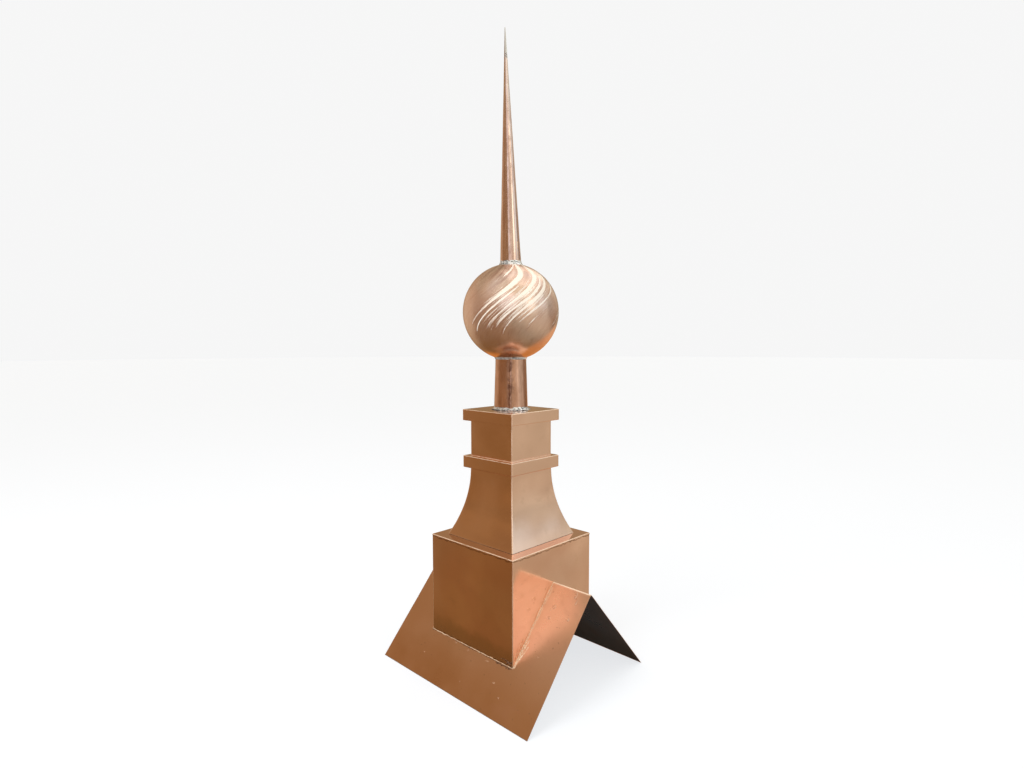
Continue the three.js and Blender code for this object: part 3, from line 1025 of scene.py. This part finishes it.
def spire_beads():
    """A short run of solder beads up the spire's foot."""
    path = []
    for k in range(60):
        height = 0.006 + 0.052 * k / 59
        angle = MARKS_FROM + math.radians(44) + 0.06 * wave(height, 0, 0, 0.01, 61)
        radius = spire_radius(height) - 0.0002
        path.append(tuple(TO_SPIRE @ Vector((radius * math.cos(angle), radius * math.sin(angle), height))))
    vertices, faces = bead_mesh(path, 0.0009, seed=62, uneven=1.6)
    piece("spire_beads", vertices, faces, WARM_SOLDER, crease=80)


spire_beads()


def joint_path():
    """The line where the box's walls meet the saddle, with a point every few millimetres."""
    half = BOX_HALF + 0.0006
    corners = [(-half, -half), (half, -half), (half, half), (-half, half)]
    path = []
    for i, (x0, y0) in enumerate(corners):
        x1, y1 = corners[(i + 1) % 4]
        for k in range(100):
            x = x0 + (x1 - x0) * k / 100
            y = y0 + (y1 - y0) * k / 100
            aside = 0.0009 * wave(x, y, 0.0, 0.014, 57)
            path.append((x + aside * (i % 2), y, roof_height(y, 0.0004 + aside * ((i + 1) % 2))))
    return path


vertices, faces = bead_mesh(joint_path(), 0.0010, seed=51, closed=True, uneven=0.9)
piece("solder_joint", vertices, faces, WARM_SOLDER, crease=80)


def slope_line(x0, run0, x1, run1, seed, sway=0.0007):
    """Points of a hand-drawn line on the front slope."""
    points = []
    for k in range(25):
        share = k / 24
        x = x0 + (x1 - x0) * share + sway * wave(share, 0, 0, 0.22, seed)
        run = run0 + (run1 - run0) * share + sway * wave(share, 5, 0, 0.22, seed)
        points.append(on_slope(x, run, 0.0002))
    return points


def wall_line(x0, up0, x1, up1, seed):
    """Points of a hand-drawn line on the foot of the box's front wall, by their height over the saddle."""
    points = []
    y = -BOX_HALF - 0.0003
    for k in range(15):
        share = k / 14
        x = x0 + (x1 - x0) * share + 0.003 * wave(share, 0, 0, 0.3, seed)
        up = up0 + (up1 - up0) * share + 0.004 * wave(share, 5, 0, 0.3, seed)
        points.append((min(x, BOX_HALF - 0.002), y, roof_height(y) + max(0.0008, up)))
    return points


def strokes():
    """Strokes of the soldering iron by the front corner, in bright solder and in dark flux."""
    rng = np.random.default_rng(11)
    corner_run = (BOX_HALF - BEND * math.sin(PITCH)) / math.cos(PITCH)
    bright = [bead_mesh(slope_line(BOX_HALF + 0.0062, 0.012, BOX_HALF + 0.003, 0.17, 70), 0.0008, 6, 70, uneven=1.2)]
    for k in range(10):
        start = corner_run - rng.uniform(0.030, 0.075)
        end = corner_run - rng.uniform(-0.003, 0.025)
        off = rng.uniform(0.002, 0.018)
        line = slope_line(BOX_HALF + off, start, BOX_HALF + 0.15 * off + 0.001, end, 71 + k)
        bright.append(bead_mesh(line, rng.uniform(0.0004, 0.0008), 6, 71 + k, uneven=1.2))
    vertices, faces = joined(bright)
    piece("solder_strokes", vertices, faces, WARM_SOLDER, crease=80)
    dark = []
    for k in range(8):
        start = BOX_HALF - rng.uniform(0.02, 0.07)
        run = corner_run + rng.uniform(0.001, 0.008)
        end = min(start + rng.uniform(0.02, 0.05), BOX_HALF - 0.004)
        line = slope_line(start, run, end, run + rng.uniform(-0.002, 0.004), 91 + k, 0.004)
        dark.append(bead_mesh(line, rng.uniform(0.0003, 0.0006), 6, 91 + k, uneven=1.4))
    for k in range(9):
        start = BOX_HALF - rng.uniform(0.012, 0.055)
        up = rng.uniform(0.002, 0.015)
        line = wall_line(start, up, start + rng.uniform(0.010, 0.030), up + rng.uniform(-0.003, 0.005), 111 + k)
        dark.append(bead_mesh(line, rng.uniform(0.0005, 0.0008), 6, 111 + k, uneven=1.4))
    line = slope_line(-BOX_HALF, corner_run + 0.0022, BOX_HALF - 0.004, corner_run + 0.0022, 99)
    dark.append(bead_mesh(line, 0.0006, 6, 99, uneven=2.0))
    vertices, faces = joined(dark)
    piece("flux_strokes", vertices, faces, FLUX, crease=80)


strokes()

DROPS = (
    # place along the ridge and down the slope, half sizes across and along, in metres
    (0.187, 0.057, 0.0050, 0.0065), (0.181, 0.066, 0.0022, 0.0030), (0.186, 0.086, 0.0065, 0.0040),
    (0.238, 0.073, 0.0050, 0.0040), (0.233, 0.012, 0.0030, 0.0110), (0.241, 0.026, 0.0026, 0.0080),
    (0.150, 0.2995, 0.0030, 0.0026), (0.117, 0.276, 0.0034, 0.0024), (-0.053, 0.2335, 0.0040, 0.0022),
    (-0.003, 0.2365, 0.0032, 0.0024), (0.070, 0.2390, 0.0050, 0.0026), (0.205, 0.180, 0.0020, 0.0020),
    (-0.190, 0.120, 0.0024, 0.0030), (-0.140, 0.290, 0.0020, 0.0020), (0.020, 0.310, 0.0022, 0.0018),
)
vertices, faces = joined(
    drop_mesh(x, run, across, along, 0.0002, 100 + i) for i, (x, run, across, along) in enumerate(DROPS)
)
piece("solder_drops", vertices, faces, DRIED_DROP, crease=80)


# The light, the floor and the camera


BACKDROP = (0.925, 0.925, 0.925)
LIT_FROM = (0.75, 0.45, 0.45)
WALL_TONES = (
    # place from the dim side (0) to the lit side (1), and the light from there
    (0.04, (0.265, 0.140, 0.050)),
    (0.20, (0.330, 0.190, 0.084)),
    (0.36, (0.335, 0.205, 0.097)),
    (0.61, (0.370, 0.295, 0.195)),
    (0.78, (0.640, 0.525, 0.370)),
    (0.91, (0.570, 0.510, 0.400)),
    (0.96, (0.600, 0.590, 0.500)),
    (1.00, (0.630, 0.660, 0.610)),
)
CEILING_LIT_FROM = (0.9, -0.3, 0.3)
CEILING_TONES = (
    (0.30, (0.320, 0.255, 0.140)),
    (0.46, (0.490, 0.370, 0.230)),
    (0.58, (0.600, 0.580, 0.520)),
    (0.95, (0.900, 0.780, 0.560)),
)
PANELS = (
    # direction, half angles in degrees of its soft edge and its core, and the light that it adds;
    # a dark cloth takes some away
    ((-0.25, 0.72, 0.65), 16, 8, (1.0, 1.0, 0.92)),
    ((0.12, 0.92, 0.38), 30, 10, (0.15, 0.17, 0.16)),
    ((0.92, 0.15, 0.38), 34, 8, (0.20, 0.22, 0.22)),
    ((0.95, 0.05, 0.20), 13, 6, (0.70, 0.68, 0.56)),
    ((0.90, 0.05, 0.42), 13, 6, (0.70, 0.68, 0.56)),
    ((0.60, -0.75, 0.38), 27, 12, (0.54, 0.60, 0.70)),
    ((-0.25, -0.80, 0.55), 22, 8, (0.08, 0.09, 0.08)),
    ((-0.96, -0.10, 0.00), 42, 5, (0.28, 0.25, 0.19)),
    ((0.24, 0.97, 0.08), 27, 12, (-0.34, -0.35, -0.29)),
    ((0.753, 0.589, 0.292), 12, 8.5, (0.20, 0.28, 0.37)),
    ((0.14, 0.68, 0.72), 16, 7, (0.16, 0.24, 0.30)),
    ((-0.38, 0.72, -0.58), 34, 30, (0.42, 0.12, 0.0)),
)


def studio():
    world = bpy.data.worlds.new("studio")
    bpy.context.scene.world = world
    world.use_nodes = True
    tree = world.node_tree
    tree.nodes.clear()

    def add(kind, sockets=None, **settings):
        node = tree.nodes.new(kind)
        for key, value in settings.items():
            setattr(node, key, value)
        for key, value in (sockets or {}).items():
            if isinstance(value, bpy.types.NodeSocket):
                tree.links.new(value, node.inputs[key])
            else:
                node.inputs[key].default_value = value
        return node

    direction = add("ShaderNodeTexCoord").outputs["Generated"]

    def towards(axis):
        made = add("ShaderNodeVectorMath", {0: direction, 1: axis}, operation="DOT_PRODUCT")
        return made.outputs["Value"]

    def tones(lit_from, stops):
        facing = towards(Vector(lit_from).normalized())
        level = add("ShaderNodeMath", {0: facing, 1: 0.5, 2: 0.5}, operation="MULTIPLY_ADD")
        ramp = add("ShaderNodeValToRGB", {0: level.outputs[0]})
        while len(ramp.color_ramp.elements) < len(stops):
            ramp.color_ramp.elements.new(0.5)
        for element, (position, colour) in zip(ramp.color_ramp.elements, stops):
            element.position = position
            element.color = (*colour, 1.0)
        return ramp.outputs[0]

    height = add("ShaderNodeSeparateXYZ", {0: direction}).outputs["Z"]

    def by_height(low, high, at_low, at_high):
        sockets = {"Value": height, "From Min": low, "From Max": high}
        sockets.update({"To Min": at_low, "To Max": at_high})
        made = add("ShaderNodeMapRange", sockets, interpolation_type="SMOOTHSTEP")
        return made.outputs[0]

    room = add("ShaderNodeMix", data_type="RGBA")
    tree.links.new(by_height(0.42, 0.78, 0, 1), room.inputs[0])
    tree.links.new(tones(LIT_FROM, WALL_TONES), room.inputs[6])
    tree.links.new(tones(CEILING_LIT_FROM, CEILING_TONES), room.inputs[7])
    clouds = add("ShaderNodeTexNoise", {"Vector": direction, "Scale": 8.0, "Detail": 3.0})
    cloudy = add(
        "ShaderNodeMapRange",
        {"Value": clouds.outputs[0], "From Min": 0.32, "From Max": 0.68, "To Min": 0.80, "To Max": 1.20},
    ).outputs[0]
    below = add(
        "ShaderNodeMath", {0: by_height(-0.6, -0.05, 0.85, 1.0), 1: cloudy}, operation="MULTIPLY"
    ).outputs[0]
    total = add("ShaderNodeVectorMath", {0: room.outputs[2], "Scale": below}, operation="SCALE")
    for axis, wide, narrow, colour in PANELS:
        share = add(
            "ShaderNodeMapRange",
            {
                "Value": towards(Vector(axis).normalized()),
                "From Min": math.cos(math.radians(wide)),
                "From Max": math.cos(math.radians(narrow)),
            },
            interpolation_type="SMOOTHSTEP",
        ).outputs[0]
        panel = add("ShaderNodeVectorMath", {0: colour, "Scale": share}, operation="SCALE")
        total = add("ShaderNodeVectorMath", {0: total.outputs[0], 1: panel.outputs[0]}, operation="ADD")
    lit = add("ShaderNodeBackground", {"Color": total.outputs[0], "Strength": 1.0})
    seen = add("ShaderNodeBackground", {"Color": (*BACKDROP, 1.0), "Strength": 1.0})
    path = add("ShaderNodeLightPath").outputs["Is Camera Ray"]
    both = add("ShaderNodeMixShader", {0: path, 1: lit.outputs[0], 2: seen.outputs[0]})
    add("ShaderNodeOutputWorld", {0: both.outputs[0]})


def softbox(name, place, aim, size, strength, colour, mirrored=True):
    lamp = bpy.data.lights.new(name, "AREA")
    lamp.shape = "RECTANGLE"
    lamp.size, lamp.size_y = size
    lamp.energy = strength * math.pi * size[0] * size[1]
    lamp.color = colour
    made = bpy.data.objects.new(name, lamp)
    made.location = place
    made.rotation_mode = "QUATERNION"
    made.rotation_quaternion = (Vector(aim) - Vector(place)).to_track_quat("-Z", "Y")
    made.visible_camera = False
    made.visible_glossy = mirrored
    bpy.context.scene.collection.objects.link(made)


def floor():
    rings = [round_ring(r, 0.0, 96) for r in (0.5, 2.0, 8.0, 40.0)]
    vertices, faces = loft(rings, start_point=(0, 0, 0))
    mesh = bpy.data.meshes.new("floor")
    mesh.from_pydata(vertices, [], faces)
    f = Finish("floor", metallic=0.0)
    tone = f.mix(f.grain(3, 3.0), (0.29, 0.30, 0.33), (0.30, 0.31, 0.34))
    mesh.materials.append(f.finish(tone, f.step(f.grain(6), 0, 1, 0.8, 0.9)))
    f.shader.inputs["Emission Color"].default_value = (0.935, 0.965, 1.0, 1.0)
    f.shader.inputs["Emission Strength"].default_value = 0.765
    f.material.cycles.emission_sampling = "NONE"
    made = bpy.data.objects.new("floor", mesh)
    bpy.context.scene.collection.objects.link(made)
    made.visible_glossy = False


def ground_shade():
    """The dark ground under the saddle, as its undersides mirror it."""
    x, y = SADDLE_HALF, EAVE_HALF + 0.02
    mesh = bpy.data.meshes.new("ground_shade")
    mesh.from_pydata([(-x, -y, 0.001), (x, -y, 0.001), (x, y, 0.001), (-x, y, 0.001)], [], [(0, 1, 2, 3)])
    f = Finish("ground_shade", metallic=0.0)
    tone = f.mix(f.grain(9), (0.05, 0.05, 0.055), (0.07, 0.07, 0.075))
    mesh.materials.append(f.finish(tone, f.step(f.grain(6), 0, 1, 0.8, 0.9)))
    # A faint painted glow, so that the painted shade mirrored in the undersides is dark grey, not black.
    f.shader.inputs["Emission Color"].default_value = (0.55, 0.85, 1.0, 1.0)
    f.shader.inputs["Emission Strength"].default_value = 0.022
    made = bpy.data.objects.new("ground_shade", mesh)
    bpy.context.scene.collection.objects.link(made)
    made.visible_camera = False
    made.visible_diffuse = False
    made.visible_shadow = False


def camera():
    data = bpy.data.cameras.new("camera")
    data.sensor_width = 36.0
    data.lens = 21.474
    made = bpy.data.objects.new("camera", data)
    place = Vector((1.1433, -1.1805, 0.8738))
    forward = Vector((-0.69290, 0.71800, -0.06601))
    roll = Matrix.Rotation(math.radians(-0.082), 4, "Z")
    turn = forward.to_track_quat("-Z", "Y").to_matrix().to_4x4() @ roll
    made.matrix_world = Matrix.Translation(place) @ turn
    bpy.context.scene.collection.objects.link(made)
    bpy.context.scene.camera = made


studio()
softbox("overhead", (0.5, 0.9, 3.6), (0.0, 0.0, 0.4), (3.0, 3.0), 0.5, (1.0, 0.98, 0.95))
softbox("front", (-0.2, -2.97, 3.4), (0.0, 0.0, 0.8), (2.0, 2.0), 6.8, (1.0, 0.99, 0.97), False)
floor()
ground_shade()
camera()
bpy.context.scene.view_settings.view_transform = "Standard"
